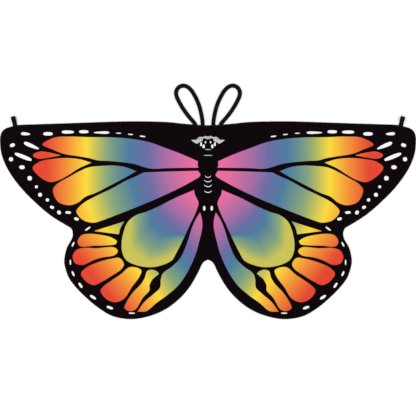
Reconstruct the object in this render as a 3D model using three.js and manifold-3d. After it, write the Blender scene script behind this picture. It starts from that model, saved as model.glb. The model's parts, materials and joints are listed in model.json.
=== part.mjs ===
// A child's butterfly-wing cape, laid flat with its printed side up.
// Units are millimetres. +X is the wearer's right, +Y the neck edge, +Z the printed side.
// One cut of thin cloth makes all four wings. It is divided here along its four fold lines, so
// that the wings can flap and their tips can fold. A turned hem runs round its edge on the
// underside. Two soft elastic loops for the arms leave the neck edge, and one short elastic loop
// for a finger leaves each wing tip.

import * as THREE from 'three';
import { mergeVertices } from 'three/addons/utils/BufferGeometryUtils.js';
import Module from 'manifold-3d';

// ---- Driving dimensions ----

const WINGSPAN = 1360; // tip to tip
const CLOTH_DROP = 638; // from the neck line down to the lowest hem
const CLOTH_THICKNESS = 0.5;
const OUTLINE_STEP = 15; // longest straight step along the outline

const HEM_WIDTH = 7; // double turned hem
const HEM_THICKNESS = 1.6;
const HEM_LOWER_LAYER = 0.5; // what passes below a sewn strap end

const NOTCH_TO_TIP_FOLD = 17; // from the waist notch inwards to the tip's fold line
const FOLD_CLEARANCE = 10; // what a folded tip leaves free before the shoulder fold
const FOLD_GAP = 0.6; // between two panels of the cloth along a fold line
const GAP = 0.3; // between pieces that touch on the real cape

const STRAP_WIDTH = 13.4; // soft tubular elastic, lying flattened
const STRAP_THICKNESS = 3.4;
const STRAP_STEPS = 40; // steps along an arm loop
const INNER_FOOT_X = 17.2; // where an arm loop's two legs leave the neck edge
const OUTER_FOOT_X = 39.5;
const SEWN_LENGTH = 15; // of a strap end under the cloth
const SEWN_THICKNESS = 0.8; // of elastic pressed flat by its stitches

const FINGER_LOOP_INSET = 49.5; // from the wing tip inwards, along the top edge
const FINGER_LOOP_LENGTH = 30;
const FINGER_LOOP_WIDTH = 14.4;
const FINGER_LOOP_HEIGHT = 10;
const FINGER_ELASTIC_THICKNESS = 1.4;

const TACK_WIDTH = 2.6; // a bar tack's size along the strap
const TACK_OVERHANG = 0.6; // what it passes the strap's edges by
const TACK_THICKNESS = 0.4;
const TACK_INSET = 5; // from the cloth's edge to the middle of the tack

// Half of the outline, from the middle of the neck round the tip to the middle of the lower edge.
// Across is a share of half the wingspan, up is a share of the drop.
const HALF_OUTLINE = [
  [0, -0.0066], [0.109, 0.0005], [0.19, 0.0094], [0.288, 0.013], [0.397, 0.0133], // neck, shoulder
  [0.541, 0.0088], [0.685, 0.0034], [0.829, -0.0016], [0.916, -0.006], // leading edge
  [0.95, -0.015], [0.969, -0.021], [0.988, -0.036], [0.9985, -0.063], [1, -0.091], // wing tip
  [0.9934, -0.152], [0.9651, -0.228], [0.9049, -0.3204], [0.82, -0.4125], [0.75, -0.4741],
  [0.6799, -0.5204], [0.6574, -0.536], [0.65, -0.561], [0.6538, -0.5868], // waist notch
  [0.678, -0.6332], [0.6888, -0.6787], [0.6912, -0.7085], [0.672, -0.7817], // rear wing
  [0.6368, -0.835], [0.5838, -0.8918], [0.5265, -0.9426], [0.4588, -0.9843], [0.3721, -1],
  [0.2862, -0.9859], [0.2088, -0.9524], [0.1419, -0.9], [0.089, -0.8364], [0.0456, -0.757],
  [0.0265, -0.7147], [0.0118, -0.7006], [0, -0.6967], // notch between the rear wings
];
const WAIST_NOTCH = 21; // the innermost point of the waist notch in that list

// An arm loop's middle line, from its inner foot to its outer foot: across from the middle of the
// back, and up from the neck line. The two ends run on past the feet, and are trimmed there.
const ARM_LOOP_ROUTE = [
  [17, -8], [18.2, 10], [21.6, 30.5], [26.6, 51.5], [33.4, 71], [42.2, 89.6], [52.6, 106.8],
  [65, 119.6], [80.2, 125.2], [95.2, 119.8], [103.8, 106.2], [102.8, 90.6], [93.2, 69.6],
  [78.8, 45.6], [60.4, 21.2], [36.4, -6],
];

// ---- What follows from them ----

const halfSpan = WINGSPAN / 2;
const clothBottom = HEM_THICKNESS + GAP;
const clothTop = clothBottom + CLOTH_THICKNESS;
const tackBottom = clothTop + GAP;
const sewnBottom = HEM_LOWER_LAYER + GAP;
const tipFoldX = HALF_OUTLINE[WAIST_NOTCH][0] * halfSpan - NOTCH_TO_TIP_FOLD;
const shoulderFoldX = 2 * tipFoldX - halfSpan - FOLD_CLEARANCE;
const hemSplitY = -0.1 * CLOTH_DROP; // divides a panel's top hem from its bottom hem
const reach = WINGSPAN + CLOTH_DROP; // longer than anything, for cutting boxes

const printedCloth = { color: 0x2a1a30, roughness: 0.62, metalness: 0 };
const blackHem = { color: 0x0e0a10, roughness: 0.7, metalness: 0 };
const blackElastic = { color: 0x120e14, roughness: 0.85, metalness: 0 };
const blackThread = { color: 0x08060a, roughness: 0.5, metalness: 0 };

const wasm = await Module();
wasm.setup();
const cape = new THREE.Group();

// ---- Solids ----

function solidOf(geometry) {
  geometry.deleteAttribute('normal');
  geometry.deleteAttribute('uv');
  const merged = mergeVertices(geometry, 1e-4);
  return new wasm.Manifold(new wasm.Mesh({
    numProp: 3,
    vertProperties: new Float32Array(merged.attributes.position.array),
    triVerts: new Uint32Array(merged.index.array),
  }));
}

function boxSolid(low, high) {
  const size = high.map((value, axis) => value - low[axis]);
  const middle = high.map((value, axis) => (value + low[axis]) / 2);
  return solidOf(new THREE.BoxGeometry(...size).translate(...middle));
}

function plateSolid(points, bottom, top) {
  const options = { depth: top - bottom, bevelEnabled: false };
  return solidOf(new THREE.ExtrudeGeometry(new THREE.Shape(points), options).translate(0, 0, bottom));
}

function addPiece(name, solid, finish) {
  const mesh = solid.getMesh();
  const geometry = new THREE.BufferGeometry();
  geometry.setAttribute('position', new THREE.BufferAttribute(mesh.vertProperties, 3));
  geometry.setIndex(new THREE.BufferAttribute(mesh.triVerts, 1));
  geometry.computeVertexNormals();
  const piece = new THREE.Mesh(geometry, new THREE.MeshStandardMaterial(finish));
  piece.name = name;
  cape.add(piece);
  return piece;
}

// ---- The cloth's outline ----

const halfPoints = HALF_OUTLINE.map(([across, up]) => [across * halfSpan, up * CLOTH_DROP]);
const otherHalf = halfPoints.slice(1, -1).reverse().map(([x, y]) => [-x, y]);
const outlineKnots = [...halfPoints, ...otherHalf].map(([x, y]) => new THREE.Vector3(x, y, 0));
const outlineCurve = new THREE.CatmullRomCurve3(outlineKnots, true, 'centripetal');

// The outline's points and its outward directions, in steps that follow each stretch's length.
function sampleOutline() {
  const samples = [];
  outlineKnots.forEach((knot, index) => {
    const next = outlineKnots[(index + 1) % outlineKnots.length];
    const steps = Math.ceil(knot.distanceTo(next) / OUTLINE_STEP);
    for (let step = 0; step < steps; step += 1) {
      const t = (index + step / steps) / outlineKnots.length;
      const point = outlineCurve.getPoint(t);
      const along = outlineCurve.getTangent(t);
      samples.push({ x: point.x, y: point.y, outX: -along.y, outY: along.x });
    }
  });
  return samples;
}

const outline = sampleOutline();

function insetOutline(distance) {
  return outline.map((p) => new THREE.Vector2(p.x - p.outX * distance, p.y - p.outY * distance));
}

// A point of the top edge at a distance from the middle, with the edge's outward direction.
function topEdgeAt(x) {
  const after = outline.findIndex((p) => p.x > x);
  const from = outline[after - 1];
  const to = outline[after];
  const share = (x - from.x) / (to.x - from.x);
  return {
    y: THREE.MathUtils.lerp(from.y, to.y, share),
    lean: Math.atan2(to.y - from.y, to.x - from.x),
  };
}

// ---- Sewn strap ends ----

// Where each strap end is sewn: its place on the edge, the lean of the edge, and its width.
const neckFootY = Math.max(topEdgeAt(0).y, topEdgeAt(OUTER_FOOT_X + STRAP_WIDTH).y) + GAP;
const fingerLoopX = halfSpan - FINGER_LOOP_INSET;
const fingerEdge = topEdgeAt(fingerLoopX);
const sewnPlaces = [];
for (const [side, sign] of [['left', -1], ['right', 1]]) {
  for (const [leg, x] of [['inner', INNER_FOOT_X], ['outer', OUTER_FOOT_X]]) {
    const edge = { x: sign * x, y: neckFootY - GAP, lean: 0 };
    sewnPlaces.push({ name: `${side}_arm_loop_${leg}`, ...edge, width: STRAP_WIDTH });
  }
  const edge = { x: sign * fingerLoopX, y: fingerEdge.y, lean: sign * fingerEdge.lean };
  sewnPlaces.push({ name: `${side}_finger_loop`, ...edge, width: FINGER_LOOP_WIDTH });
}

// A solid built with its edge point at the origin and +Y outwards goes to its place on the edge.
function placed(solid, place) {
  const degrees = THREE.MathUtils.radToDeg(place.lean);
  return solid.rotate([0, 0, degrees]).translate([place.x, place.y, 0]);
}

function pocketFor(place) {
  const half = place.width / 2 + GAP;
  const low = [-half, -SEWN_LENGTH - GAP, HEM_LOWER_LAYER];
  return placed(boxSolid(low, [half, HEM_WIDTH, clothTop]), place);
}

function roundedBar(length, width) {
  const shape = new THREE.Shape();
  const straight = (length - width) / 2;
  shape.absarc(straight, 0, width / 2, -Math.PI / 2, Math.PI / 2);
  shape.absarc(-straight, 0, width / 2, Math.PI / 2, (3 * Math.PI) / 2);
  return shape.getPoints(2);
}

for (const place of sewnPlaces) {
  const half = place.width / 2;
  const sewnTop = sewnBottom + SEWN_THICKNESS;
  const end = boxSolid([-half, -SEWN_LENGTH, sewnBottom], [half, GAP / 2, sewnTop]);
  addPiece(`${place.name}_sewn_end`, placed(end, place), blackElastic);
  const bar = roundedBar(place.width + 2 * TACK_OVERHANG, TACK_WIDTH);
  const tack = plateSolid(bar, tackBottom, tackBottom + TACK_THICKNESS).translate([0, -TACK_INSET, 0]);
  addPiece(`${place.name}_bar_tack`, placed(tack, place), blackThread);
}

// ---- Cloth panels and hems ----

const wholeCloth = plateSolid(outline.map((p) => new THREE.Vector2(p.x, p.y)), clothBottom, clothTop);
let wholeHem = plateSolid(outline.map((p) => new THREE.Vector2(p.x, p.y)), 0, HEM_THICKNESS);
wholeHem = wholeHem.subtract(plateSolid(insetOutline(HEM_WIDTH), -1, HEM_THICKNESS + 1));
sewnPlaces.forEach((place) => { wholeHem = wholeHem.subtract(pocketFor(place)); });

// The stretches of X that the panels take, each clear of its fold lines.
const trim = FOLD_GAP / 2;
const panels = {
  back: [-shoulderFoldX + trim, shoulderFoldX - trim],
  left_wing: [-tipFoldX + trim, -shoulderFoldX - trim],
  right_wing: [shoulderFoldX + trim, tipFoldX - trim],
  left_tip: [-reach, -tipFoldX - trim],
  right_tip: [tipFoldX + trim, reach],
};

for (const [name, [from, to]] of Object.entries(panels)) {
  const strip = (low, high) => boxSolid([from, low, -1], [to, high, clothTop + 1]);
  addPiece(`${name}_panel`, wholeCloth.intersect(strip(-reach, reach)), printedCloth);
  if (name.endsWith('tip')) {
    addPiece(`${name}_hem`, wholeHem.intersect(strip(-reach, reach)), blackHem);
  } else {
    addPiece(`${name}_top_hem`, wholeHem.intersect(strip(hemSplitY, reach)), blackHem);
    addPiece(`${name}_bottom_hem`, wholeHem.intersect(strip(-reach, hemSplitY)), blackHem);
  }
}

// ---- Arm loops ----

function strapSection() {
  const flat = STRAP_WIDTH / 2 - STRAP_THICKNESS / 2;
  const shape = new THREE.Shape();
  shape.absarc(0, flat, STRAP_THICKNESS / 2, 0, Math.PI);
  shape.absarc(0, -flat, STRAP_THICKNESS / 2, Math.PI, 2 * Math.PI);
  return new THREE.Shape(shape.getPoints(2));
}

function armLoop(sign) {
  const points = ARM_LOOP_ROUTE.map(([x, y]) => new THREE.Vector3(sign * x, y, STRAP_THICKNESS / 2));
  const route = new THREE.CatmullRomCurve3(points, false, 'centripetal');
  const options = { steps: STRAP_STEPS, extrudePath: route, bevelEnabled: false };
  const tube = solidOf(new THREE.ExtrudeGeometry(strapSection(), options));
  return tube.intersect(boxSolid([-reach, neckFootY, -1], [reach, reach, reach]));
}

addPiece('left_arm_loop', armLoop(-1), blackElastic);
addPiece('right_arm_loop', armLoop(1), blackElastic);

// ---- Finger loops ----

// Side outline of the folded elastic: flat below, a round nose of the given radius at the far
// end, and a straight slope from the nose back to the root.
function loopSide(root, rootLow, rootHigh, noseX, noseY, radius) {
  const run = noseX - root;
  const rise = noseY - rootHigh;
  const slope = Math.atan2(rise, run) + Math.asin(radius / Math.hypot(run, rise));
  const side = new THREE.Shape();
  side.moveTo(root, rootHigh);
  side.lineTo(root, rootLow);
  side.lineTo(noseX, noseY - radius);
  side.absarc(noseX, noseY, radius, -Math.PI / 2, Math.PI / 2 + slope);
  return side.getPoints(7);
}

function fingerLoop(place) {
  const wall = FINGER_ELASTIC_THICKNESS;
  const nose = FINGER_LOOP_HEIGHT / 2;
  const noseX = FINGER_LOOP_LENGTH - nose;
  const rootX = GAP;
  const hollowX = rootX + 5 * wall; // the two layers are stitched together up to here
  const outside = loopSide(rootX, 0, 2 * wall, noseX, nose, nose);
  const hollow = loopSide(hollowX, wall, wall + 0.6, noseX, nose, nose - wall);
  const profile = new THREE.Shape(outside);
  profile.holes.push(new THREE.Path(hollow));
  const options = { depth: FINGER_LOOP_WIDTH, bevelEnabled: false };
  const across = new THREE.ExtrudeGeometry(profile, options).translate(0, 0, -FINGER_LOOP_WIDTH / 2);
  // Profile X points outwards from the edge, profile Y up.
  return placed(solidOf(across.rotateX(Math.PI / 2).rotateZ(Math.PI / 2)), place);
}

for (const place of sewnPlaces.filter((p) => p.name.endsWith('finger_loop'))) {
  addPiece(place.name, fingerLoop(place), blackElastic);
}

// ---- The origin: below the middle of the whole cape ----

const extent = new THREE.Box3().setFromObject(cape);
cape.position.y = -(extent.min.y + extent.max.y) / 2;

export default cape;
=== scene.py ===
import json
import math

import bmesh
import bpy
import numpy as np
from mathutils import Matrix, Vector, noise
from mathutils.geometry import delaunay_2d_cdt
from mathutils.kdtree import KDTree


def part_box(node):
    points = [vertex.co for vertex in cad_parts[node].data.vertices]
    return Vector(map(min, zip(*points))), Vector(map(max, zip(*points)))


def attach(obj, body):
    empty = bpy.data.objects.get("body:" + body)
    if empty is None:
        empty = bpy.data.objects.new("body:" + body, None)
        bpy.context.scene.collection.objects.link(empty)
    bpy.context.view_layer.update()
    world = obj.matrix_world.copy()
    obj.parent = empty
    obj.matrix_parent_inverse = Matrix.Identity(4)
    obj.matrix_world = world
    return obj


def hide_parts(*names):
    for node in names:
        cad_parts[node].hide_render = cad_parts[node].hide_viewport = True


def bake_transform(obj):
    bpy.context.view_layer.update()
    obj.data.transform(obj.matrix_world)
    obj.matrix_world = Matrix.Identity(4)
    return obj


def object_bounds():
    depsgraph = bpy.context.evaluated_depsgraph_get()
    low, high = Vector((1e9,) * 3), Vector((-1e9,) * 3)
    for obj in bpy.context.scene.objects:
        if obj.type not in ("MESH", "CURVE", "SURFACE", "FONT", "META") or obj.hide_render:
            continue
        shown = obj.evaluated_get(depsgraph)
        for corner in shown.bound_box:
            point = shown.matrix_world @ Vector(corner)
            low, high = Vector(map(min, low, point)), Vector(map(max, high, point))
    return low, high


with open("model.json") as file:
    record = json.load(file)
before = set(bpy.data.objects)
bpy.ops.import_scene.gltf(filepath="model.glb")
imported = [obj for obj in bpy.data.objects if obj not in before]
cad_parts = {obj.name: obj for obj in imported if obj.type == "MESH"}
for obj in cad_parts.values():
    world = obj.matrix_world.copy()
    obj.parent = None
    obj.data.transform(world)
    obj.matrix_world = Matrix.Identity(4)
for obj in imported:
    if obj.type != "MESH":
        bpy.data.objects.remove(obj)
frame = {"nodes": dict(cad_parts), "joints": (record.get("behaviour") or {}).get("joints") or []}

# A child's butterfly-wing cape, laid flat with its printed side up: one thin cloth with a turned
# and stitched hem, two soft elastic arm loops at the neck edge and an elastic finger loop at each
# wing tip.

cad_low, cad_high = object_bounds()

MM = 0.001
UP = Vector((0, 0, 1))
SIDES = {"left": -1, "right": 1}
FOOT_BELOW_NECK = 1.4 * MM  # from an arm loop's foot up to the neck line

# ---- Places and sizes that the frame gives ----

joints = {joint["name"]: joint for joint in frame["joints"]}
half_span = cad_high.x
shoulder_x = joints["right_wing_flap"]["pos_m"][0]
tip_fold_x = joints["right_tip_fold"]["pos_m"][0]
seam_x = (shoulder_x + tip_fold_x) / 2
foot_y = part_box("left_arm_loop")[0].y
neck_y = foot_y + FOOT_BELOW_NECK
sewn_low, sewn_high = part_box("left_arm_loop_inner_sewn_end")
strap_width = sewn_high.x - sewn_low.x

# ---- Sizes of the visible cloth, hem and thread ----

CLOTH_THICKNESS = 0.3 * MM
HEM_WIDTH = 7.1
OUTLINE_STEP = 3 * MM
PRINT_STEP = 4 * MM
WING_PRINT_DROP = 0.7  # in mm
WING_PRINT_START = 60  # across from the middle, in mm: the drop grows from here
WING_PRINT_BLEND = 100  # and is whole this much further out
SPOT_POINTS = 20
SPOT_ROUNDNESS = 0.8  # 1 is an ellipse, less is squarer
PRINT_INSET = 0.8 * MM  # the colours stop this far inside their outlines, so thin veins stay bold
GRID_STEP = 8 * MM
FOLD_COLUMN_STEP = 2.5 * MM
FOLD_COLUMN_REACH = 20 * MM

STITCH_INSET = 5.4  # from the edge to the hem's stitching, in mm
STITCH_PITCH = 3 * MM
STITCH_LENGTH = 2.5 * MM
THREAD_WIDTH = 0.42 * MM

# Height of the cloth's upper face over the floor, by the distance from the edge, both in mm.
RIM_DISTANCE = [0, 0.6, 1.6, 3, 5.4, 7.6, 12, 20]
RIM_HEIGHT = [1.3, 1.75, 2.15, 2.3, 1.95, 2.1, 1.3, 0.8]
RIM_HEIGHT_OVER_STRAP = [2.2, 2.25, 2.3, 2.35, 2.2, 2.2, 2.1, 0.9]

# Section of the turned hem: distance from the edge and height, in mm.
HEM_SECTION = [
    (0.9, 0.2), (0.4, 0.35), (0.2, 0.62), (0.4, 0.88), (0.9, 1.1), (1.7, 1.55), (3, 1.8),
    (4.4, 1.65), (5.4, 1.45), (6.4, 1.6), (6.9, 1.4), (HEM_WIDTH, 0.95), (6.9, 0.5),
    (6.3, 0.25), (5.4, 0.42), (4.4, 0.25), (2.6, 0.2),
]
HEM_LOWER_LAYER = 0.68  # top of the hem below a strap end, in mm

# ---- The print ----
# Across from the middle of the back and down from the neck line, in mm, on the wearer's right
# half. The left half mirrors it. A third value of 1 marks a sharp corner.

CELLS = {
    "fore_leading": [
        (542, 67), (503, 44), (446, 40), (388, 42), (315, 43), (248, 48), (190, 59), (133, 80),
        (81, 100), (32, 122, 1), (33, 133), (30.5, 144, 1), (100, 144.5), (133, 145), (185, 146.5),
        (212, 140.5), (242, 131), (315, 122), (362, 119), (388, 112), (430, 105), (472, 98), (508, 84),
    ],
    "fore_sliver": [
        (573, 100), (550, 89), (524, 91), (477, 102, 1), (524, 111), (550, 114), (568, 109),
    ],
    "fore_tip": [
        (574, 142), (550, 122), (508, 113), (461, 110), (420, 114), (379, 126, 1), (421, 145),
        (457, 168), (487, 184), (519, 190), (555, 169),
    ],
    "fore_middle": [
        (508, 216), (496, 197), (460, 175), (394, 142), (347, 136), (305, 135), (268, 140.5),
        (233, 154, 1), (263, 171.5), (315, 199), (367, 225.5), (400, 238), (426, 258), (455, 266),
        (491, 254),
    ],
    "fore_trailing": [
        (431, 284), (408, 258), (367, 235), (315, 210), (263, 181.5), (238, 171), (211, 157.5, 1),
        (190, 156.5), (133, 154.5), (80, 153.5), (32, 152.5, 1), (24, 168), (55, 190), (133, 229),
        (211, 263), (289, 294), (347, 316), (373, 323), (404, 317), (425, 299),
    ],
    "disc": [
        (45, 215, 1), (42, 231), (30.5, 258), (39, 289), (56, 325), (83, 383), (104, 424),
        (118, 446.5), (159, 464.5), (195, 468.5), (237, 461), (268, 445), (281, 419), (283, 388),
        (276, 351), (263, 320), (237, 298), (201, 285.5), (159, 267), (107, 241),
    ],
    "rear_wedge": [(272, 317, 1), (285, 339), (291, 361, 1), (376, 350, 1)],
    "rear_first": [
        (427, 383), (414, 363), (388, 358), (347, 362), (315, 370), (297, 383), (302, 393),
        (326, 397), (367, 398), (420, 399),
    ],
    "rear_second": [
        (443, 432), (433, 413), (409, 404), (367, 405), (305, 403), (294, 416), (305, 429),
        (347, 437), (373, 445), (409, 461), (435, 455),
    ],
    "rear_third": [
        (416, 489), (399, 469), (357, 450), (315, 439), (289, 437), (274, 458), (284, 476),
        (315, 497), (341, 513), (373, 527), (399, 515),
    ],
    "rear_fourth": [
        (352, 544), (341, 529), (315, 510), (284, 489), (259, 468), (237, 467.5), (217, 478),
        (224, 500), (249, 534), (268, 565), (284, 578), (308, 583), (336, 570),
    ],
    "rear_fifth": [
        (274, 601), (267, 582), (246.5, 550.5), (220.5, 523.5), (207, 502), (200, 480),
        (180, 475.5), (160, 488), (180, 507), (190.5, 527), (190.5, 543), (212.5, 568.5),
        (237, 607), (258, 612),
    ],
    "rear_inner": [
        (25.5, 288, 1), (18.5, 315), (18.5, 341), (29, 388), (39, 424), (65, 482), (96.5, 528),
        (133, 560), (169, 586), (201, 612), (232, 614, 1), (209.5, 582), (179, 555.5),
        (157.5, 534), (155, 507), (148, 488), (116.5, 464), (90.5, 437), (69, 389), (54, 342),
        (41, 312),
    ],
}

# White spots of the border: across, down, length, width, tilt in degrees (outer end raised), and
# how much wider the outer end is than the inner one.
SPOTS = [
    (596, 32, 31, 11, 4, 0.3), (523, 32, 33, 13, 0, 0), (458, 26, 41, 12, 0, 0.1),
    (406, 25, 33, 12, 0, 0), (348, 28, 53, 9, 0, -0.4), (292, 30, 18, 5, 0, 0),
    (253, 34, 18, 5, 5, 0), (214, 40, 20, 6, 7, 0), (577, 71, 54, 13, 23, 0.3),
    (604, 107, 61, 14, 22, 0), (639, 69, 18, 13, -20, 0), (644, 115, 15, 15, 0, 0),
    (608, 141, 19, 14, 0, 0), (583, 177, 16, 16, 0, 0), (561, 205, 11, 11, 0, 0),
    (549, 231, 14, 14, 0, 0), (525, 248, 12, 12, 0, 0), (510, 272, 15, 11, 25, 0),
    (487, 289, 15, 13, 60, 0), (457, 289, 20, 10, 3, 0), (430, 310, 17, 11, 15, 0),
    (393, 342, 22, 7, -36, 0), (441, 393, 18, 7, -63, 0), (450, 452, 19, 6, 90, 0),
    (441, 489, 19, 8, 65, 0), (417, 527, 21, 9, 55, 0), (376, 566, 24, 10, 33, 0),
    (321, 600, 23, 10, 20, 0), (249, 618, 22, 6, 0, 0),
]

# White marks of the printed head and body: the same way as the spots.
BODY_SPOTS = [
    (8.4, 60, 6, 9, 0, 0), (14.3, 73.5, 9, 14, 0, 0), (22.6, 66.5, 7.5, 14.5, 0, 0),
    (12.3, 276, 9, 16.5, 0, 0),
]
# Half of the crest over the head, from the middle of its upper edge round to its lower edge.
CREST = [
    (0, 41, 1), (5, 39.3), (10.6, 39.4), (17, 42.6), (22, 42), (27.5, 42), (33, 45.6), (39.5, 50.6),
    (47, 51.4), (57.5, 52.6, 1), (46, 60.5), (36, 66, 1), (30, 61.5), (22, 58), (17.5, 56, 1),
    (17, 51), (12.7, 46.4, 1), (7.3, 49), (0, 51.4, 1),
]
# Dark slits between the crest's feathers, and the bars and chevrons down the body: the middle
# line's points and the stroke's width.
CREST_SLITS = [
    ([(18, 44.6), (21.3, 49.5), (21.8, 56)], 1.3), ([(24, 44), (27.5, 50), (29, 58)], 1.3),
    ([(30, 46.5), (33.4, 52), (36.4, 61)], 1.3), ([(36.6, 50.6), (41, 54.6), (43.6, 59)], 1.2),
    ([(44.6, 52.4), (49, 55.4)], 1), ([(4, 41), (5.4, 46), (9.4, 47.6)], 1.3), ([(10, 41), (14, 44.6)], 1.1),
]
BODY_BARS = [(83.8, 11, 3.4), (103, 16, 3.4)]  # down, half-width, thickness
CHEVRONS = [(171.5, 10), (185.5, 13.2), (201.5, 13.2), (220.5, 12.8)]  # down, half-width
CHEVRON_RISE = 3
CHEVRON_DROP = 4
CHEVRON_STROKE = 2.1

# The print's dyes and where each one is pure, in mm along the print's scale of colour, from the
# body out to the rim.
PALETTE = {
    "pink": (180, (235, 110, 160)), "mauve": (245, (170, 110, 165)),
    "violet_blue": (290, (110, 110, 165)), "blue": (335, (80, 125, 160)),
    "green": (400, (135, 165, 125)), "yellow": (470, (255, 220, 65)),
    "orange": (530, (245, 150, 60)), "red": (600, (230, 75, 55)),
}
DISPLAY_GAMMA = 2.2
BLACK_INK = (9, 2, 7)
WHITE_INK = (250, 250, 247)
PALE_INK = (208, 214, 208)
INK_STRENGTH = 0.88
GROUND, COLOURED, WHITE, PALE = 0.0, 1.0, 2.0, 3.0

# ---- Straps ----
# An arm loop's middle line, from its inner foot to its outer foot: across from the middle of the
# back and up from the neck line, in mm.
ARM_LOOP_ROUTE = [
    (17, -8), (18.2, 10), (21.6, 30.5), (26.6, 51.5), (33.4, 71), (42.2, 89.6), (52.6, 106.8),
    (65, 119.6), (80.2, 125.2), (95.2, 119.8), (103.8, 106.2), (102.8, 90.6), (93.2, 69.6),
    (78.8, 45.6), (60.4, 21.2), (36.4, -6),
]
ARM_LOOP_THICKNESS = 3.2
FINGER_LOOP_WIDTH = 14.4 * MM
ARM_LOOP_HEIGHT = 1.7  # of its middle line over the floor
ROOT_LENGTH = 8 * MM  # of an arm loop beside the neck edge
SEWN_THICKNESS = 0.7
SEWN_HEIGHT = 1.2


# ---- Lines ----

def span_point(before, start, end, after, share):
    """A point of the centripetal Catmull-Rom curve, at a share of the way from start to end."""
    knots = [0.0]
    for a, b in ((before, start), (start, end), (end, after)):
        knots.append(knots[-1] + max((b - a).length, 1e-9) ** 0.5)
    t0, t1, t2, t3 = knots
    t = t1 + (t2 - t1) * share
    a1 = before.lerp(start, (t - t0) / (t1 - t0))
    a2 = start.lerp(end, (t - t1) / (t2 - t1))
    a3 = end.lerp(after, (t - t2) / (t3 - t2))
    b1 = a1.lerp(a2, (t - t0) / (t2 - t0))
    b2 = a2.lerp(a3, (t - t1) / (t3 - t1))
    return b1.lerp(b2, (t - t1) / (t2 - t1))


def smooth_line(knots, step, closed=False, corners=()):
    """Points about a step apart on a smooth line through the knots, sharp at the corners."""
    count = len(knots)
    spans = count if closed else count - 1
    line = []
    for i in range(spans):
        j = (i + 1) % count
        start, end = knots[i], knots[j]
        first = i in corners or (i == 0 and not closed)
        last = j in corners or (i == spans - 1 and not closed)
        before = 2 * start - end if first else knots[i - 1]
        after = 2 * end - start if last else knots[(j + 1) % count]
        steps = max(1, round((end - start).length / step))
        line += [span_point(before, start, end, after, k / steps) for k in range(steps)]
    return line if closed else line + [knots[-1]]


def print_place(across, down):
    """A place of the print in the frame. The wings' print sits a little lower than the body's."""
    drop = WING_PRINT_DROP * min(max((across - WING_PRINT_START) / WING_PRINT_BLEND, 0), 1)
    return Vector((across * MM, neck_y - (down + drop) * MM))


def turned_left(line):
    """The closed outline, running anticlockwise."""
    area = sum(a.cross(b) for a, b in zip(line, line[1:] + line[:1]))
    return line if area > 0 else line[::-1]


def print_outline(points, step=PRINT_STEP):
    """A closed outline of the print, smooth but for its marked corners, drawn just inside."""
    corners = {i for i, point in enumerate(points) if len(point) == 3}
    line = turned_left(smooth_line([print_place(*p[:2]) for p in points], step, True, corners))
    count = len(line)
    moved = []
    for i, point in enumerate(line):
        before, after = point - line[i - 1], line[(i + 1) % count] - point
        along = (before.normalized() + after.normalized()).normalized()
        moved.append(point + Vector((-along.y, along.x)) * PRINT_INSET)
    return moved


def spot_outline(across, down, length, width, tilt, taper):
    """A rounded spot, whose outer end is wider by its taper."""
    angle = math.radians(tilt)
    outward = Vector((math.cos(angle), math.sin(angle)))
    side = Vector((-outward.y, outward.x))
    points = []
    for k in range(SPOT_POINTS):
        turn = 2 * math.pi * k / SPOT_POINTS
        x = math.copysign(abs(math.cos(turn)) ** SPOT_ROUNDNESS, math.cos(turn))
        y = math.copysign(abs(math.sin(turn)) ** SPOT_ROUNDNESS, math.sin(turn)) * (1 + taper * x)
        reach = outward * x * (length * MM / 2 - PRINT_INSET)
        points.append(print_place(across, down) + reach + side * y * (width * MM / 2 - PRINT_INSET))
    return points


def stroke_outline(points, width):
    """The outline of a stroke of one width along a line, square at its start, pointed at its end."""
    line = [print_place(*p) for p in points]
    left, right = [], []
    for i, point in enumerate(line[:-1]):
        along = (line[i + 1] - line[max(i - 1, 0)]).normalized()
        side = Vector((-along.y, along.x)) * width * MM / 2
        left.append(point + side)
        right.append(point - side)
    return left + [line[-1]] + right[::-1]


def cloth_outline():
    """The right half of the cloth's edge, from the middle of the neck to the notch at the bottom."""
    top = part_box("back_panel")[1].z
    knots = {}
    for name in ("back_panel", "right_wing_panel", "right_tip_panel"):
        for vertex in frame["nodes"][name].data.vertices:
            x, y, z = vertex.co
            clear = min(abs(x - shoulder_x), abs(x - tip_fold_x)) > 0.5 * MM
            if z > top - 0.1 * MM and x > -0.1 * MM and clear:
                knots[round(x, 5), round(y, 5)] = Vector((max(x, 0), y))
    half = sorted(knots.values(), key=lambda p: math.atan2(p.x, p.y))
    mirrored = [Vector((-p.x, p.y)) for p in half[1:-1]]
    whole = half + mirrored[::-1]
    smooth = smooth_line(whole, OUTLINE_STEP, closed=True)
    end = min(range(len(smooth)), key=lambda i: (smooth[i] - half[-1]).length)
    return smooth[:end + 1]


outline = cloth_outline()
edge_points = np.array(outline)
edge_lengths = np.linalg.norm(np.diff(edge_points, axis=0), axis=1)
edge_travel = np.concatenate([[0], np.cumsum(edge_lengths)])


def edge_directions():
    """Unit vectors that point out of the cloth, at each of the outline's points."""
    along = np.gradient(edge_points, axis=0)
    along[0], along[-1] = (1, 0), (-1, 0)
    along /= np.linalg.norm(along, axis=1)[:, None]
    return np.stack([-along[:, 1], along[:, 0]], axis=1)


edge_outward = edge_directions()


def inset_line(distance):
    """The outline moved inwards by a distance in mm."""
    return edge_points - edge_outward * distance * MM


def edge_relation(points):
    """For each point, its distance from the edge and how far along the edge it is, in metres."""
    starts, steps = edge_points[:-1], np.diff(edge_points, axis=0)
    squares = (steps ** 2).sum(axis=1)
    distance, travel = np.empty(len(points)), np.empty(len(points))
    for i, point in enumerate(points):
        rel = point - starts
        share = np.clip((rel * steps).sum(axis=1) / squares, 0, 1)
        gaps = np.linalg.norm(rel - steps * share[:, None], axis=1)
        nearest = gaps.argmin()
        distance[i] = gaps[nearest]
        travel[i] = edge_travel[nearest] + share[nearest] * edge_lengths[nearest]
    return distance, travel


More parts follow.
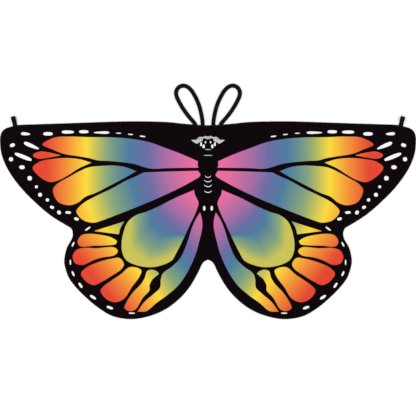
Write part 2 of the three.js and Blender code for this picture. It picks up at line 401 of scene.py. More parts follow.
# ---- How the cloth lies ----

def strap_feet(side):
    """Where the straps leave the edge: the place, the way out of the cloth and the strap's width."""
    feet = []
    for leg in ("inner", "outer"):
        low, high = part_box(f"{side}_arm_loop_{leg}_sewn_end")
        feet.append((Vector(((low.x + high.x) / 2, foot_y)), Vector((0, 1)), strap_width))
    joint = joints[f"{side}_finger_loop_lift"]
    along = Vector(joint["axis"][:2])
    place = Vector(joint["pos_m"][:2])
    feet.append((place, Vector((-along.y, along.x)), FINGER_LOOP_WIDTH))
    return feet


def strap_cover(x, y):
    """1 where the cloth lies over a strap end, 0 away from it."""
    cover = 0.0
    for place, outward, width in strap_feet("right"):
        rel = Vector((x, y)) - place
        aside = abs(rel.x * outward.y - rel.y * outward.x) - width / 2
        inwards = -rel.dot(outward)
        near = 1 - min(max(aside / (3 * MM), 0), 1)
        near *= 1 - min(max((inwards - 15 * MM) / (6 * MM), 0), 1)
        cover = max(cover, near)
    return cover


def level(x):
    """X with level stretches at the middle and at the seams, so that slopes meet there."""
    sign = math.copysign(1, x)
    x = abs(x)
    if x < seam_x:
        share = x / seam_x
        return sign * seam_x * share * share * (3 - 2 * share)
    rest = half_span * 1.1 - seam_x
    share = (x - seam_x) / rest
    return sign * (seam_x + rest * share * share * (3 - 2 * share))


def wave_height(x, y):
    """Soft waves of the loose cloth, in mm: long folds that fan out below the neck, and ripples."""
    u = level(x)
    below = neck_y + 0.5 - y
    fan = math.atan2(u, below)
    reach = math.hypot(u, below)
    long_folds = noise.noise(Vector((fan * 7.5, reach / 0.42, 3.1)))
    ripples = noise.noise(Vector((u / 0.07, y / 0.1, 8.4)))
    lifted = max(long_folds + 0.12, 0) * 5.2
    return lifted + (ripples + 0.35) * 0.8


def smooth_share(value, low, high):
    share = np.clip((value - low) / (high - low), 0, 1)
    return share * share * (3 - 2 * share)


def cloth_heights(points, distance, travel, sign):
    """Heights of the cloth's upper face, in metres, for flat points of the right half."""
    inset = distance / MM
    plain = np.interp(inset, RIM_DISTANCE, RIM_HEIGHT)
    over_strap = np.interp(inset, RIM_DISTANCE, RIM_HEIGHT_OVER_STRAP)
    near_edge = inset < 24
    cover = np.zeros(len(points))
    cover[near_edge] = [strap_cover(*p) for p in points[near_edge]]
    height = plain + (over_strap - plain) * cover
    pucker = 0.5 + 0.5 * np.sin(2 * np.pi * travel / (9.5 * MM) + 2 * np.sin(travel / 0.031))
    height += 0.28 * pucker * np.interp(inset, [2, 7, 15], [0, 1, 0]) * (1 - cover)
    folds = np.minimum(abs(points[:, 0] - shoulder_x), abs(points[:, 0] - tip_fold_x))
    free = smooth_share(distance, 9 * MM, 40 * MM) * smooth_share(folds, 6 * MM, 55 * MM)
    waves = np.array([wave_height(sign * x, y) for x, y in points])
    return (height + waves * free) * MM


# ---- The cloth, cut flat with its print ----

def printed_shapes():
    """Every outline that is cut into the cloth: its kind, and its points on the right half."""
    middle = [Vector((0, y)) for y in np.arange(outline[-1].y, outline[0].y, GRID_STEP)[1:]]
    shapes = [("cloth", outline + middle)]
    shapes += [(name, print_outline(points)) for name, points in CELLS.items()]
    shapes += [("white", spot_outline(*spot)) for spot in SPOTS + BODY_SPOTS]
    shapes.append(("pale", print_outline(CREST, 1.5 * MM)))
    shapes += [("slit", stroke_outline(*slit)) for slit in CREST_SLITS]
    for down, half_width, thickness in BODY_BARS:
        bar = [(0, down), (half_width * 0.6, down), (half_width, down)]
        shapes.append(("pale", stroke_outline(bar, thickness - 1.4)))
    for down, half_width in CHEVRONS:
        rows = [(0, CHEVRON_DROP), (0.35, CHEVRON_DROP * 0.8), (0.7, 1), (1, -CHEVRON_RISE)]
        bend = [(half_width * share, down + drop) for share, drop in rows]
        shapes.append(("white", stroke_outline(bend, CHEVRON_STROKE)))
    return shapes


def column_places():
    """X of the columns of inner points, closer together along the fold lines."""
    places, x = [], GRID_STEP / 2
    while x < half_span:
        places.append(x)
        near = min(abs(x - shoulder_x), abs(x - tip_fold_x)) < FOLD_COLUMN_REACH
        x += FOLD_COLUMN_STEP if near else GRID_STEP
    return places


def inner_points(taken):
    """Points that fill the cloth between its drawn lines, in staggered columns and edge rows."""
    tree = KDTree(len(taken))
    for i, point in enumerate(taken):
        tree.insert((*point, 0), i)
    tree.balance()
    rows = [inset_line(inset) for inset in RIM_DISTANCE[1:-1]]
    low, high = edge_points[:, 1].min(), edge_points[:, 1].max()
    columns = []
    for i, x in enumerate(column_places()):
        ys = np.arange(low + GRID_STEP * (i % 2) / 2, high, GRID_STEP)
        columns.append(np.stack([np.full(len(ys), x), ys], axis=1))
    candidates = [(p, 0.45 * MM) for p in np.concatenate(rows)]
    candidates += [(p, 2.6 * MM) for p in np.concatenate(columns)]
    kept = []
    for point, clearance in candidates:
        if point[0] > clearance and tree.find((*point, 0))[2] > clearance:
            kept.append(Vector(point))
    return kept


def cut_cloth():
    """The flat right half: its points, its triangles, and each triangle's kind of print."""
    shapes = [(kind, turned_left(line)) for kind, line in printed_shapes()]
    points, faces = [], []
    for _, line in shapes:
        faces.append(list(range(len(points), len(points) + len(line))))
        points += line
    seam_start = len(points)
    low, high = edge_points[:, 1].min(), edge_points[:, 1].max()
    points += [Vector((seam_x, y)) for y in np.arange(low - GRID_STEP, high + GRID_STEP, GRID_STEP)]
    edges = [(i, i + 1) for i in range(seam_start, len(points) - 1)]
    points += inner_points(points)
    flat, _, triangles, _, _, owners = delaunay_2d_cdt(points, edges, faces, 0, 1e-7, True)
    kept, kinds = [], []
    for triangle, owner in zip(triangles, owners):
        if 0 not in owner:
            continue
        names = {shapes[i][0] for i in owner if i < len(shapes)} - {"cloth"}
        kept.append(triangle)
        first = [kind for kind in ("slit", "white", "pale") if kind in names]
        kinds.append(first[0] if first else min(names, default="ground"))
    return np.array(flat), np.array(kept), kinds


def rainbow_place(kind, across, down):
    """Where the print's colour lies on the scale of colour, at a place in mm."""
    if kind == "fore_trailing":
        return 0.82 * across + 0.25 * down + 83
    if kind.startswith("fore"):
        return max(across + 72, 0.75 * across + 142)
    if kind.startswith("rear"):
        return 0.81 * across + 0.64 * down - 20
    inner = 0.66 * across + 0.75 * down - 31
    outer_side = max(across - 132, 0)
    lower_side = max(0.84 * down - 0.543 * across - 167.5, 0)
    rim = math.hypot(outer_side, lower_side) - 90
    border = 389 + 1.55 * rim - 0.15 * max(0, 160 - across)
    share = min(max((down - 350) / 28, (across - 125) / 30, 0), 1)
    share *= share * (3 - 2 * share)
    return min(inner + (max(inner, border) - inner) * share, 440)


def ink_of(kind):
    return {"ground": GROUND, "slit": GROUND, "white": WHITE, "pale": PALE}.get(kind, COLOURED)


flat_points, flat_triangles, triangle_kinds = cut_cloth()
flat_distance, flat_travel = edge_relation(flat_points)


def new_object(name, mesh, materials):
    piece = bpy.data.objects.new(name, mesh)
    bpy.context.scene.collection.objects.link(piece)
    for material in materials:
        mesh.materials.append(material)
    mesh.shade_smooth()
    return piece


def part_triangles(part):
    """The triangles on one side of the seam between the cloth's inner and outer part."""
    middles = flat_points[flat_triangles][:, :, 0].mean(axis=1)
    chosen = middles < seam_x if part == "inner" else middles > seam_x
    return np.flatnonzero(chosen)


def keep_rim_crisp(mesh):
    """The cut edge doesn't round the shading of the cloth's faces."""
    work = bmesh.new()
    work.from_mesh(mesh)
    for edge in work.edges:
        edge.smooth = not edge.is_boundary
    work.to_mesh(mesh)
    work.free()


def cloth_piece(side, part, materials):
    """One part of the cloth, printed, with the thickness of the real cloth."""
    sign = SIDES[side]
    heights = cloth_heights(flat_points, flat_distance, flat_travel, sign)
    chosen = part_triangles(part)
    triangles = flat_triangles[chosen]
    used, local = np.unique(triangles, return_inverse=True)
    local = local.reshape(triangles.shape)
    places = np.column_stack([flat_points[used] * (sign, 1), heights[used]])
    faces = local if sign > 0 else local[:, ::-1]
    mesh = bpy.data.meshes.new(f"{side}_cloth_{part}")
    mesh.from_pydata(places.tolist(), [], faces.tolist())
    place = mesh.attributes.new("rainbow_place", "FLOAT", "CORNER")
    ink = mesh.attributes.new("ink", "FLOAT", "CORNER")
    flat_map = mesh.uv_layers.new(name="flat_pattern")
    for face, triangle in zip(mesh.polygons, chosen):
        kind = triangle_kinds[triangle]
        for loop in face.loop_indices:
            x, y, _ = places[mesh.loops[loop].vertex_index]
            flat_map.data[loop].uv = (x, y)
            ink.data[loop].value = ink_of(kind)
            if ink_of(kind) == COLOURED:
                place.data[loop].value = rainbow_place(kind, abs(x) / MM, (neck_y - y) / MM)
    piece = new_object(f"{side}_cloth_{part}", mesh, materials)
    keep_rim_crisp(mesh)
    wall = piece.modifiers.new("cloth_thickness", "SOLIDIFY")
    wall.thickness = CLOTH_THICKNESS
    wall.offset = -1
    wall.material_offset = 1
    wall.material_offset_rim = 0
    return piece


# ---- Swept skins ----

def sweep(name, runs, materials):
    """Closed skins over runs of rings of points, with a map of metres round and along them."""
    work = bmesh.new()
    strap_map = work.loops.layers.uv.new("strap_map")
    for rings in runs:
        count = len(rings[0])
        first = [Vector(p) for p in rings[0]]
        girth = np.cumsum([0] + [(first[(j + 1) % count] - first[j]).length for j in range(count)])
        middles = np.array([np.mean(ring, axis=0) for ring in rings])
        travel = np.cumsum([0, *np.linalg.norm(np.diff(middles, axis=0), axis=1)])
        grid = [[work.verts.new(point) for point in ring] for ring in rings]
        for i in range(len(rings) - 1):
            for j in range(count):
                k = (j + 1) % count
                face = work.faces.new((grid[i][j], grid[i][k], grid[i + 1][k], grid[i + 1][j]))
                corners = ((i, j), (i, j + 1), (i + 1, j + 1), (i + 1, j))
                for loop, (ring, step) in zip(face.loops, corners):
                    loop[strap_map].uv = (girth[step], travel[ring])
        for cap in (work.faces.new(grid[0][::-1]), work.faces.new(grid[-1])):
            for edge in cap.edges:
                edge.smooth = False
    bmesh.ops.recalc_face_normals(work, faces=work.faces)
    mesh = bpy.data.meshes.new(name)
    work.to_mesh(mesh)
    work.free()
    return new_object(name, mesh, materials)


def edge_runs(part):
    """The stretches of the outline, as index lists, that bound a part of the cloth."""
    xs = edge_points[:, 0]
    outer = np.flatnonzero(xs > seam_x)
    if part == "outer":
        return [np.arange(outer[0], outer[-1] + 1)]
    return [np.arange(0, outer[0]), np.arange(outer[-1] + 1, len(xs))]


def at_seam(run):
    """The run's points with an end moved on to the seam, so that hem parts meet there."""
    base, outward = edge_points[run].copy(), edge_outward[run]
    for end in (0, -1):
        if base[end, 0] > 4 * OUTLINE_STEP:
            base[end, 0] = seam_x
        else:
            base[end, 0] = 0
    return base, outward


def hem_piece(side, part, material):
    """The hem's turned layers below the cloth's edge."""
    sign = SIDES[side]
    runs = []
    for run in edge_runs(part):
        base, outward = at_seam(run)
        rings = []
        for point, out in zip(base, outward):
            cover = strap_cover(*(point - out * 2 * MM))
            ring = []
            for inset, height in HEM_SECTION:
                x, y = point - out * inset * MM
                pressed = min(height, HEM_LOWER_LAYER)
                x = max(x, 0) if point[0] > 0 else 0
                ring.append((sign * x, y, (height + (pressed - height) * cover) * MM))
            rings.append(ring)
        runs.append(rings)
    return sweep(f"{side}_hem_{part}", runs, [material])


# ---- Stitches ----

def stitch_tree():
    """Geometry nodes: thread stitches along every line of a mesh, each leaning to either side."""
    tree = bpy.data.node_groups.new("row_of_stitches", "GeometryNodeTree")
    sockets = (
        ("Lines", "INPUT", "NodeSocketGeometry"), ("Pitch", "INPUT", "NodeSocketFloat"),
        ("Stitch Length", "INPUT", "NodeSocketFloat"), ("Thread Width", "INPUT", "NodeSocketFloat"),
        ("Lean", "INPUT", "NodeSocketFloat"), ("Thread", "INPUT", "NodeSocketMaterial"),
        ("Stitches", "OUTPUT", "NodeSocketGeometry"),
    )
    for name, way, kind in sockets:
        tree.interface.new_socket(name, in_out=way, socket_type=kind)
    given = tree.nodes.new("NodeGroupInput").outputs
    curve = add(tree, "GeometryNodeMeshToCurve", {"Mesh": given["Lines"]})
    places = add(tree, "GeometryNodeCurveToPoints",
                 {"Curve": curve.outputs[0], "Length": given["Pitch"]}, mode="LENGTH")
    facing = add(tree, "FunctionNodeAlignRotationToVector",
                 {"Vector": places.outputs["Tangent"]}, axis="X", pivot_axis="Z")
    parity = maths(tree, "MODULO", add(tree, "GeometryNodeInputIndex").outputs[0], 2)
    swing = maths(tree, "MULTIPLY", maths(tree, "MULTIPLY_ADD", parity, 2, -1), given["Lean"])
    turn = add(tree, "FunctionNodeAxisAngleToRotation", {"Axis": (0, 0, 1), "Angle": swing})
    leaning = add(tree, "FunctionNodeRotateRotation",
                  {"Rotation": facing.outputs[0], "Rotate By": turn.outputs[0]},
                  rotation_space="LOCAL")
    ball = add(tree, "GeometryNodeMeshUVSphere", {"Segments": 6, "Rings": 5, "Radius": 0.5})
    lying = add(tree, "GeometryNodeTransform",
                {"Geometry": ball.outputs[0], "Rotation": (0, math.pi / 2, 0)})
    size = add(tree, "ShaderNodeCombineXYZ", {
        "X": given["Stitch Length"], "Y": given["Thread Width"], "Z": given["Thread Width"]})
    stitch = add(tree, "GeometryNodeTransform",
                 {"Geometry": lying.outputs[0], "Scale": size.outputs[0]})
    copies = add(tree, "GeometryNodeInstanceOnPoints", {
        "Points": places.outputs["Points"], "Instance": stitch.outputs[0],
        "Rotation": leaning.outputs[0]})
    real = add(tree, "GeometryNodeRealizeInstances", {"Geometry": copies.outputs[0]})
    dressed = add(tree, "GeometryNodeSetMaterial",
                  {"Geometry": real.outputs[0], "Material": given["Thread"]})
    out = tree.nodes.new("NodeGroupOutput")
    tree.links.new(dressed.outputs[0], out.inputs["Stitches"])
    return tree


def stitch_piece(name, lines, values):
    """Stitches along lines of points, as a plain mesh."""
    points = [point for line in lines for point in line]
    edges, start = [], 0
    for line in lines:
        edges += [(i, i + 1) for i in range(start, start + len(line) - 1)]
        start += len(line)
    guide_mesh = bpy.data.meshes.new(name + "_guide")
    guide_mesh.from_pydata(points, edges, [])
    guide = bpy.data.objects.new(name + "_guide", guide_mesh)
    bpy.context.scene.collection.objects.link(guide)
    rows = guide.modifiers.new("stitches", "NODES")
    rows.node_group = STITCHES
    for item in STITCHES.interface.items_tree:
        if item.in_out == "INPUT" and item.name in values:
            rows[item.identifier] = values[item.name]
    bpy.context.view_layer.update()
    graph = bpy.context.evaluated_depsgraph_get()
    mesh = bpy.data.meshes.new_from_object(guide.evaluated_get(graph), depsgraph=graph)
    mesh.name = name
    bpy.data.objects.remove(guide)
    return new_object(name, mesh, [])


def hem_stitches(side, part, thread):
    """The hem's stitching, with a row on the cloth and a row below the hem."""
    sign = SIDES[side]
    inset = inset_line(STITCH_INSET)
    distance = np.full(len(inset), STITCH_INSET * MM)
    heights = cloth_heights(inset, distance, edge_travel, sign)
    lines = []
    for run in edge_runs(part):
        run = run[(inset[run, 0] > 1.5 * MM)]
        upper = np.column_stack([inset[run] * (sign, 1), heights[run] + 0.05 * MM])
        lower = np.column_stack([inset[run] * (sign, 1), np.full(len(run), 0.32 * MM)])
        lines += [upper.tolist(), lower.tolist()]
    return stitch_piece(f"{side}_hem_stitches_{part}", lines, {
        "Pitch": STITCH_PITCH, "Stitch Length": STITCH_LENGTH, "Thread Width": THREAD_WIDTH,
        "Lean": 0.0, "Thread": thread})


def bar_tack(name, place, outward, width, thread):
    """A block of close zigzag stitches across a strap end."""
    middle = place - outward * 5 * MM
    across = Vector((outward.y, -outward.x))
    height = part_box(name)[0].z - 0.12 * MM
    ends = [middle + across * share * (width + 1 * MM) / 2 for share in (-1, 1)]
    line = [(*ends[0].lerp(ends[1], k / 8), height) for k in range(9)]
    return stitch_piece(name + "_thread", [line], {
        "Pitch": 0.5 * MM, "Stitch Length": 2.6 * MM, "Thread Width": 0.45 * MM,
        "Lean": math.radians(79), "Thread": thread})


# ---- Straps ----

def strap_section(width, thickness, ribs):
    """Half-round edges and lengthwise ribs: points across and through the strap, in mm."""
    flat = (width - thickness) / 2
    depth = 0.09 * min(thickness, 1.4)
    points = []
    steps = ribs * 4
    for way in (1, -1):
        for k in range(steps + 1):
            share = k / steps
            ripple = depth * (math.cos(2 * math.pi * ribs * share) - 1) / 2
            points.append((way * flat * (1 - 2 * share), way * (thickness / 2 + ripple)))
        for k in range(1, 4):
            turn = math.pi * k / 4
            across = -way * (flat + thickness / 2 * math.sin(turn))
            points.append((across, way * thickness / 2 * math.cos(turn)))
    return points


def ring_at(middle, across, through, section):
    return [middle + (across * a + through * t) * MM for a, t in section]


def directions(line):
    """Unit directions along a line of points."""
    count = len(line)
    steps = [line[min(i + 1, count - 1)] - line[max(i - 1, 0)] for i in range(count)]
    return [step.normalized() for step in steps]


def arm_route(side):
    """The arm loop's middle line, and where its roots end: two indexes into it."""
    points = [
        Vector((SIDES[side] * x * MM, neck_y + y * MM, ARM_LOOP_HEIGHT * MM)) for x, y in ARM_LOOP_ROUTE]
    line = smooth_line(points, 2 * MM)
    above = [i for i, point in enumerate(line) if point.y > foot_y]
    root_steps = round(ROOT_LENGTH / (2 * MM))
    return line, above[0] + root_steps, above[-1] - root_steps


def arm_loop(side, material):
    """The free stretch of an arm loop: soft tubular elastic, lying flattened."""
    line, start, end = arm_route(side)
    section = strap_section(strap_width / MM, ARM_LOOP_THICKNESS, 9)
    free, ways = line[start:end + 1], directions(line)[start:end + 1]
    rings = [ring_at(p, way.cross(UP), UP, section) for p, way in zip(free, ways)]
    return sweep(f"{side}_arm_loop_elastic", [rings], [material]), free


def arm_loop_root(side, leg, material):
    """A strap end: pressed flat between cloth and hem, then out past the edge to the free loop."""
    line, start, end = arm_route(side)
    low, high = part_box(f"{side}_arm_loop_{leg}_sewn_end")
    free = line[start - 3:start + 4] if leg == "inner" else line[end + 3:end - 4:-1]
    sewn_x = (low.x + high.x) / 2
    knots = [Vector((sewn_x, y, free[0].z)) for y in (low.y, low.y + 8 * MM)]
    knots += [free[1], free[3], free[6]]
    path = smooth_line(knots, 1.2 * MM)
    last = min(range(len(path)), key=lambda i: (path[i] - free[3]).length)
    ways = directions(path)
    rings = []
    for point, way in zip(path[:last + 1], ways):
        grown = float(smooth_share(point.y, foot_y - 1 * MM, free[3].y))
        thickness = SEWN_THICKNESS + (ARM_LOOP_THICKNESS - SEWN_THICKNESS) * grown
        height = SEWN_HEIGHT + (ARM_LOOP_HEIGHT - SEWN_HEIGHT) * grown
        middle = Vector((point.x, point.y, height * MM))
        way = way if leg == "inner" else -way
        section = strap_section(strap_width / MM, thickness, 9)
        rings.append(ring_at(middle, way.cross(UP), UP, section))
    return sweep(f"{side}_arm_loop_{leg}_root", [rings], [material])


def finger_loop(side, material):
    """A short elastic folded in half: both ends pressed under the cloth, a standing nose outside."""
    place, outward, width = strap_feet(side)[2]
    along = Vector((outward.y, -outward.x, 0))
    out = Vector((*outward, 0))
    nose, radius, wall = 25, 4.3, 1.3
    lower = [(-15, 0.98), (-8, 0.98), (-2, 0.95), (2.5, 0.75), (8, 0.72), (16, 0.7), (nose, 0.7)]
    arc = [(nose + radius * math.sin(a), 5 - radius * math.cos(a))
           for a in (math.radians(d) for d in range(20, 200, 22))]
    upper = [(16, 6.6), (10, 4.1), (6, 2.6), (2.5, 2.1), (-2, 1.42), (-8, 1.4), (-15, 1.4)]
    flat = [Vector(p) for p in lower + arc + upper]
    path = smooth_line(flat, 1.2)
    ways = directions(path)
    rings = []
    for (x, z), way in zip(path, ways):
        grown = float(smooth_share(x, -2, 3))
        section = strap_section(width / MM - 0.3, 0.38 + (wall - 0.38) * grown, 7)
        middle = Vector((*place, 0)) + (out * x + UP * z) * MM
        through = (UP * way.x - out * way.y)
        rings.append(ring_at(middle, along, through, section))
    return sweep(f"{side}_finger_loop_elastic", [rings], [material])


# ---- Node helpers ----

def add(tree, kind, inputs=None, **settings):
    """A new node with its settings, and values or links for its inputs."""
    node = tree.nodes.new(kind)
    for key, value in settings.items():
        setattr(node, key, value)
    for key, value in (inputs or {}).items():
        if isinstance(value, bpy.types.NodeSocket):
            tree.links.new(value, node.inputs[key])
        else:
            node.inputs[key].default_value = value
    return node


def maths(tree, operation, *values):
    return add(tree, "ShaderNodeMath", dict(enumerate(values)), operation=operation).outputs[0]


def linear(colour):
    """A colour of 0 to 255 as Blender's linear red, green, blue and alpha."""
    shares = [value / 255 for value in colour]
    return tuple(s / 12.92 if s <= 0.04045 else ((s + 0.055) / 1.055) ** 2.4 for s in shares) + (1.0,)


def effect_group(name, inputs, outputs):
    """A shader node group with named sockets: the tree, and its input's outputs."""
    tree = bpy.data.node_groups.new(name, "ShaderNodeTree")
    for socket, kind, value in inputs:
        made = tree.interface.new_socket(socket, in_out="INPUT", socket_type="NodeSocket" + kind)
        if value is not None:
            made.default_value = value
    for socket, kind in outputs:
        tree.interface.new_socket(socket, in_out="OUTPUT", socket_type="NodeSocket" + kind)
    return tree, tree.nodes.new("NodeGroupInput").outputs


def put_out(tree, **results):
    out = tree.nodes.new("NodeGroupOutput")
    for socket, value in results.items():
        tree.links.new(value, out.inputs[socket])


def weave_group():
    """Plain weave: threads that pass over and under each other, with a little unevenness."""
    tree, given = effect_group(
        "plain_weave", [("Vector", "Vector", None), ("Pitch", "Float", 0.0004)], [("Height", "Float")])
    scaled = add(tree, "ShaderNodeVectorMath", {0: given["Vector"]}, operation="DIVIDE")
    pitch = add(tree, "ShaderNodeCombineXYZ", {"X": given["Pitch"], "Y": given["Pitch"], "Z": 1.0})
    tree.links.new(pitch.outputs[0], scaled.inputs[1])
    parts = add(tree, "ShaderNodeSeparateXYZ", {0: scaled.outputs[0]})
    warp = maths(tree, "SINE", maths(tree, "MULTIPLY", parts.outputs["X"], math.pi))
    weft = maths(tree, "SINE", maths(tree, "MULTIPLY", parts.outputs["Y"], math.pi))
    crossing = maths(tree, "MULTIPLY", warp, weft)
    slub = add(tree, "ShaderNodeTexNoise", {"Vector": given["Vector"], "Scale": 900.0, "Detail": 2.0})
    uneven = maths(tree, "MULTIPLY", slub.outputs["Fac"], 0.5)
    put_out(tree, Height=maths(tree, "ADD", maths(tree, "ABSOLUTE", crossing), uneven))
    return tree


def crinkle_group():
    """Fine creases of thin cloth that has been folded and handled."""
    tree, given = effect_group("fine_creases", [("Vector", "Vector", None)], [("Height", "Float")])
    broad = add(tree, "ShaderNodeTexNoise", {"Vector": given["Vector"], "Scale": 14.0, "Detail": 5.0})
    streaks = add(tree, "ShaderNodeMapping", {"Vector": given["Vector"], "Scale": (1.0, 3.2, 1.0),
                                             "Rotation": (0, 0, 0.5)})
    sharp = add(tree, "ShaderNodeTexNoise", {"Vector": streaks.outputs[0], "Scale": 22.0, "Detail": 3.0})
    fold = maths(tree, "ABSOLUTE", maths(tree, "SUBTRACT", sharp.outputs["Fac"], 0.5))
    put_out(tree, Height=maths(tree, "MULTIPLY_ADD", fold, -1.2, broad.outputs["Fac"]))
    return tree


def tone_group():
    """A slight unevenness of dye or ink: a factor round one."""
    tree, given = effect_group(
        "dye_tone", [("Vector", "Vector", None), ("Scale", "Float", 30.0), ("Amount", "Float", 0.06)],
        [("Tone", "Float")])
    cloud = add(tree, "ShaderNodeTexNoise",
                {"Vector": given["Vector"], "Scale": given["Scale"], "Detail": 4.0})
    centred = maths(tree, "SUBTRACT", cloud.outputs["Fac"], 0.5)
    swing = maths(tree, "MULTIPLY", centred, given["Amount"])
    put_out(tree, Tone=maths(tree, "ADD", swing, 1.0))
    return tree


def knit_group():
    """Knitted elastic: lengthwise wales of small V stitches over the rubber."""
    tree, given = effect_group(
        "knitted_rib", [("Vector", "Vector", None), ("Wale", "Float", 0.0011),
                        ("Course", "Float", 0.0009)], [("Height", "Float")])
    parts = add(tree, "ShaderNodeSeparateXYZ", {0: given["Vector"]})
    wale = maths(tree, "DIVIDE", parts.outputs["X"], given["Wale"])
    leg = maths(tree, "PINGPONG", wale, 0.5)
    course = maths(tree, "DIVIDE", parts.outputs["Y"], given["Course"])
    slanted = maths(tree, "ADD", course, leg)
    loops = maths(tree, "SINE", maths(tree, "MULTIPLY", slanted, 2 * math.pi))
    gutter = maths(tree, "SINE", maths(tree, "MULTIPLY", leg, 2 * math.pi))
    put_out(tree, Height=maths(tree, "MULTIPLY_ADD", loops, 0.45, gutter))
    return tree


def ink_group():
    """The printed colour: the rainbow by its place, and the black and the white by the ink's mark."""
    tree, given = effect_group(
        "printed_ink", [("Place", "Float", 0.0), ("Ink", "Float", 0.0)], [("Color", "Color")])
    dyes = list(PALETTE.values())
    first, last = dyes[0][0], dyes[-1][0]
    share = maths(tree, "DIVIDE", maths(tree, "SUBTRACT", given["Place"], first), last - first)
    ramp = add(tree, "ShaderNodeValToRGB", {"Fac": share})
    stops = ramp.color_ramp.elements
    while len(stops) < len(dyes):
        stops.new(0.5)
    for stop, (place, _) in zip(stops, dyes):
        stop.position = (place - first) / (last - first)
    for stop, (_, colour) in zip(stops, dyes):
        stop.color = (*[value / 255 for value in colour], 1.0)
    mixed = add(tree, "ShaderNodeGamma", {"Color": ramp.outputs["Color"], "Gamma": DISPLAY_GAMMA})
    colour = mixed.outputs["Color"]
    black_below = maths(tree, "LESS_THAN", given["Ink"], 0.5)
    white_above = maths(tree, "GREATER_THAN", given["Ink"], 1.5)
    pale_above = maths(tree, "GREATER_THAN", given["Ink"], 2.5)
    for chosen, ink in ((black_below, BLACK_INK), (white_above, WHITE_INK), (pale_above, PALE_INK)):
        laid = add(tree, "ShaderNodeMix", data_type="RGBA")
        tree.links.new(chosen, laid.inputs["Factor"])
        tree.links.new(colour, laid.inputs[6])
        laid.inputs[7].default_value = linear(ink)
        colour = laid.outputs[2]
    put_out(tree, Color=colour)
    return tree


WEAVE = weave_group()
CREASES = crinkle_group()
TONE = tone_group()
KNIT = knit_group()
INK = ink_group()
STITCHES = stitch_tree()


def effect(tree, group, **inputs):
    """An effect group placed in a material with its own values: its first output."""
    named = {key.replace("_", " "): value for key, value in inputs.items()}
    return add(tree, "ShaderNodeGroup", named, node_tree=group).outputs[0]


def relief(tree, layers):
    """Bump nodes in a chain, from coarse to fine: each layer's height and its depth in metres."""
    normal = None
    for height, depth in layers:
        bump = add(tree, "ShaderNodeBump", {"Height": height, "Distance": depth, "Strength": 1.0})
        if normal is not None:
            tree.links.new(normal, bump.inputs["Normal"])
        normal = bump.outputs[0]
    return normal


def new_material(name):
    material = bpy.data.materials.new(name)
    material.use_nodes = True
    tree = material.node_tree
    return material, tree, tree.nodes["Principled BSDF"]


def toned(tree, colour, tone):
    """A colour, socket or value, times a tone."""
    mixed = add(tree, "ShaderNodeMix", data_type="RGBA", blend_type="MULTIPLY")
    mixed.inputs["Factor"].default_value = 1.0
    if isinstance(colour, bpy.types.NodeSocket):
        tree.links.new(colour, mixed.inputs[6])
    else:
        mixed.inputs[6].default_value = colour
    tree.links.new(tone, mixed.inputs[7])
    return mixed.outputs[2]


def printed_colour(tree):
    place = add(tree, "ShaderNodeAttribute", attribute_name="rainbow_place").outputs["Fac"]
    ink = add(tree, "ShaderNodeAttribute", attribute_name="ink").outputs["Fac"]
    return effect(tree, INK, Place=place, Ink=ink)


def cloth_finish(tree, shader, flat, depth):
    """The weave, the fine creases and the sheen that every face of the cloth has."""
    layers = [(effect(tree, CREASES, Vector=flat), 1.6 * MM * depth),
              (effect(tree, WEAVE, Vector=flat, Pitch=0.45 * MM), 0.05 * MM)]
    tree.links.new(relief(tree, layers), shader.inputs["Normal"])
    gloss = effect(tree, TONE, Vector=flat, Scale=60.0, Amount=0.25)
    tree.links.new(maths(tree, "MULTIPLY", gloss, 0.58), shader.inputs["Roughness"])
    shader.inputs["Specular IOR Level"].default_value = 0.03


def printed_cloth():
    material, tree, shader = new_material("printed_cloth_face")
    flat = add(tree, "ShaderNodeUVMap", uv_map="flat_pattern").outputs[0]
    tone = effect(tree, TONE, Vector=flat, Scale=45.0, Amount=0.04)
    faded = maths(tree, "MULTIPLY", tone, INK_STRENGTH)
    tree.links.new(toned(tree, printed_colour(tree), faded), shader.inputs["Base Color"])
    cloth_finish(tree, shader, flat, 1.0)
    return material


def cloth_reverse():
    """The unprinted side: the ink shows through the thin cloth, paler."""
    material, tree, shader = new_material("printed_cloth_reverse")
    flat = add(tree, "ShaderNodeUVMap", uv_map="flat_pattern").outputs[0]
    tone = effect(tree, TONE, Vector=flat, Scale=220.0, Amount=0.3)
    through = add(tree, "ShaderNodeMix", data_type="RGBA")
    through.inputs["Factor"].default_value = 0.3
    tree.links.new(printed_colour(tree), through.inputs[6])
    through.inputs[7].default_value = linear((206, 202, 204))
    tree.links.new(toned(tree, through.outputs[2], tone), shader.inputs["Base Color"])
    cloth_finish(tree, shader, flat, 1.0)
    return material


def hem_cloth():
    material, tree, shader = new_material("hem_cloth_black")
    place = add(tree, "ShaderNodeUVMap", uv_map="strap_map").outputs[0]
    tone = effect(tree, TONE, Vector=place, Scale=300.0, Amount=0.5)
    tree.links.new(toned(tree, linear((14, 6, 12)), tone), shader.inputs["Base Color"])
    cloth_finish(tree, shader, place, 0.5)
    return material


def knitted_elastic():
    material, tree, shader = new_material("knitted_black_elastic")
    place = add(tree, "ShaderNodeUVMap", uv_map="strap_map").outputs[0]
    tone = effect(tree, TONE, Vector=place, Scale=700.0, Amount=0.7)
    tree.links.new(toned(tree, linear((11, 5, 9)), tone), shader.inputs["Base Color"])
    knit = effect(tree, KNIT, Vector=place, Wale=1.05 * MM, Course=0.9 * MM)
    tree.links.new(relief(tree, [(knit, 0.12 * MM)]), shader.inputs["Normal"])
    rough = effect(tree, TONE, Vector=place, Scale=400.0, Amount=0.2)
    tree.links.new(maths(tree, "MULTIPLY", rough, 0.82), shader.inputs["Roughness"])
    shader.inputs["Specular IOR Level"].default_value = 0.1
    return material


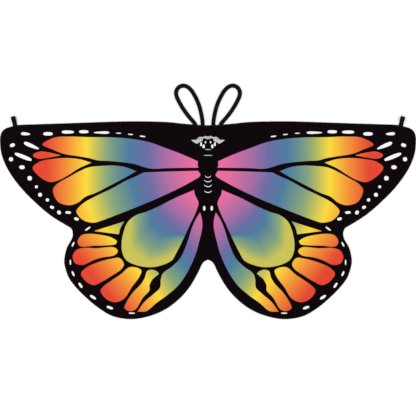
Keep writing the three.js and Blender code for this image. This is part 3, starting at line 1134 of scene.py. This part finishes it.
def sewing_thread():
    material, tree, shader = new_material("black_sewing_thread")
    place = add(tree, "ShaderNodeTexCoord").outputs["Object"]
    twist = add(tree, "ShaderNodeTexWave", {"Vector": place, "Scale": 700.0, "Distortion": 1.0},
                bands_direction="DIAGONAL")
    tree.links.new(relief(tree, [(twist.outputs["Fac"], 0.04 * MM)]), shader.inputs["Normal"])
    tone = effect(tree, TONE, Vector=place, Scale=900.0, Amount=0.6)
    tree.links.new(toned(tree, linear((12, 6, 10)), tone), shader.inputs["Base Color"])
    shader.inputs["Roughness"].default_value = 0.5
    shader.inputs["Specular IOR Level"].default_value = 0.2
    return material


# ---- The room ----

def studio():
    """A pale floor and soft light."""
    bpy.ops.mesh.primitive_plane_add(size=14, location=(0, 0, -0.0004))
    floor = bpy.context.object
    floor.name = "studio_floor"
    material, _, shader = new_material("pale_floor")
    shader.inputs["Base Color"].default_value = (0.93, 0.93, 0.925, 1)
    shader.inputs["Roughness"].default_value = 0.9
    shader.inputs["Specular IOR Level"].default_value = 0.1
    floor.data.materials.append(material)
    world = bpy.data.worlds.new("soft_room")
    world.use_nodes = True
    world.node_tree.nodes["Background"].inputs["Color"].default_value = (1, 1, 1, 1)
    world.node_tree.nodes["Background"].inputs["Strength"].default_value = 0.62
    bpy.context.scene.world = world
    for name, x, y, power in (("soft_left", -2.0, 0.9, 30), ("soft_right", 2.0, 0.9, 24),
                              ("soft_front", 0.0, -2.2, 18)):
        lamp = bpy.data.lights.new(name, "AREA")
        lamp.shape = "DISK"
        lamp.size = 1.8
        lamp.energy = power
        light = bpy.data.objects.new(name, lamp)
        light.location = (x, y, 2.1)
        light.rotation_euler = (-light.location).to_track_quat("-Z", "Y").to_euler()
        light.visible_camera = False
        bpy.context.scene.collection.objects.link(light)
    bpy.context.scene.view_settings.view_transform = "Standard"


def camera():
    lens = bpy.data.cameras.new("overhead_camera")
    lens.lens = 85
    eye = bpy.data.objects.new("overhead_camera", lens)
    view_width = 2 * half_span * 1.0002
    eye.location = (0, neck_y - 0.275, view_width * lens.lens / lens.sensor_width)
    bpy.context.scene.collection.objects.link(eye)
    bpy.context.scene.camera = eye


camera()
studio()

# ---- The pieces ----

cloth_face, cloth_back = printed_cloth(), cloth_reverse()
hem_black, elastic, thread = hem_cloth(), knitted_elastic(), sewing_thread()


for side, sign in SIDES.items():
    parts = {
        "inner": (("back", f"{side}_wing"), shoulder_x),
        "outer": ((f"{side}_wing", f"{side}_tip"), tip_fold_x),
    }
    for part, (bodies, fold_x) in parts.items():
        sheet = cloth_piece(side, part, [cloth_face, cloth_back])
        hem = hem_piece(side, part, hem_black)
        stitches = hem_stitches(side, part, thread)
        for piece in (sheet, hem, stitches):
            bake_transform(piece)
        owners = ["back", f"{side}_wing"] if part == "inner" else [f"{side}_wing", f"{side}_tip"]
        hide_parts(*[f"{owner}_panel" for owner in owners])
        hems = []
        for owner in owners:
            if owner.endswith("tip"):
                hems += [f"{owner}_hem"]
            else:
                hems += [f"{owner}_top_hem", f"{owner}_bottom_hem"]
        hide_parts(*hems)
        width = seam_x if part == "inner" else half_span - seam_x

    loop, route = arm_loop(side, elastic)
    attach(loop, f"{side}_arm_band")
    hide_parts(f"{side}_arm_loop")
    for leg in ("inner", "outer"):
        root = arm_loop_root(side, leg, elastic)
        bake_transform(root)
        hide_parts(f"{side}_arm_loop_{leg}_sewn_end")

    finger = finger_loop(side, elastic)
    place, outward, _ = strap_feet(side)[2]
    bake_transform(finger)
    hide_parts(f"{side}_finger_loop", f"{side}_finger_loop_sewn_end")

    names = [f"{side}_arm_loop_inner_bar_tack", f"{side}_arm_loop_outer_bar_tack",
             f"{side}_finger_loop_bar_tack"]
    for name, (place, outward, width) in zip(names, strap_feet(side)):
        tack = bar_tack(name, place, outward, width, thread)
        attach(tack, f"{side}_tip" if "finger" in name else "back")
        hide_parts(name)
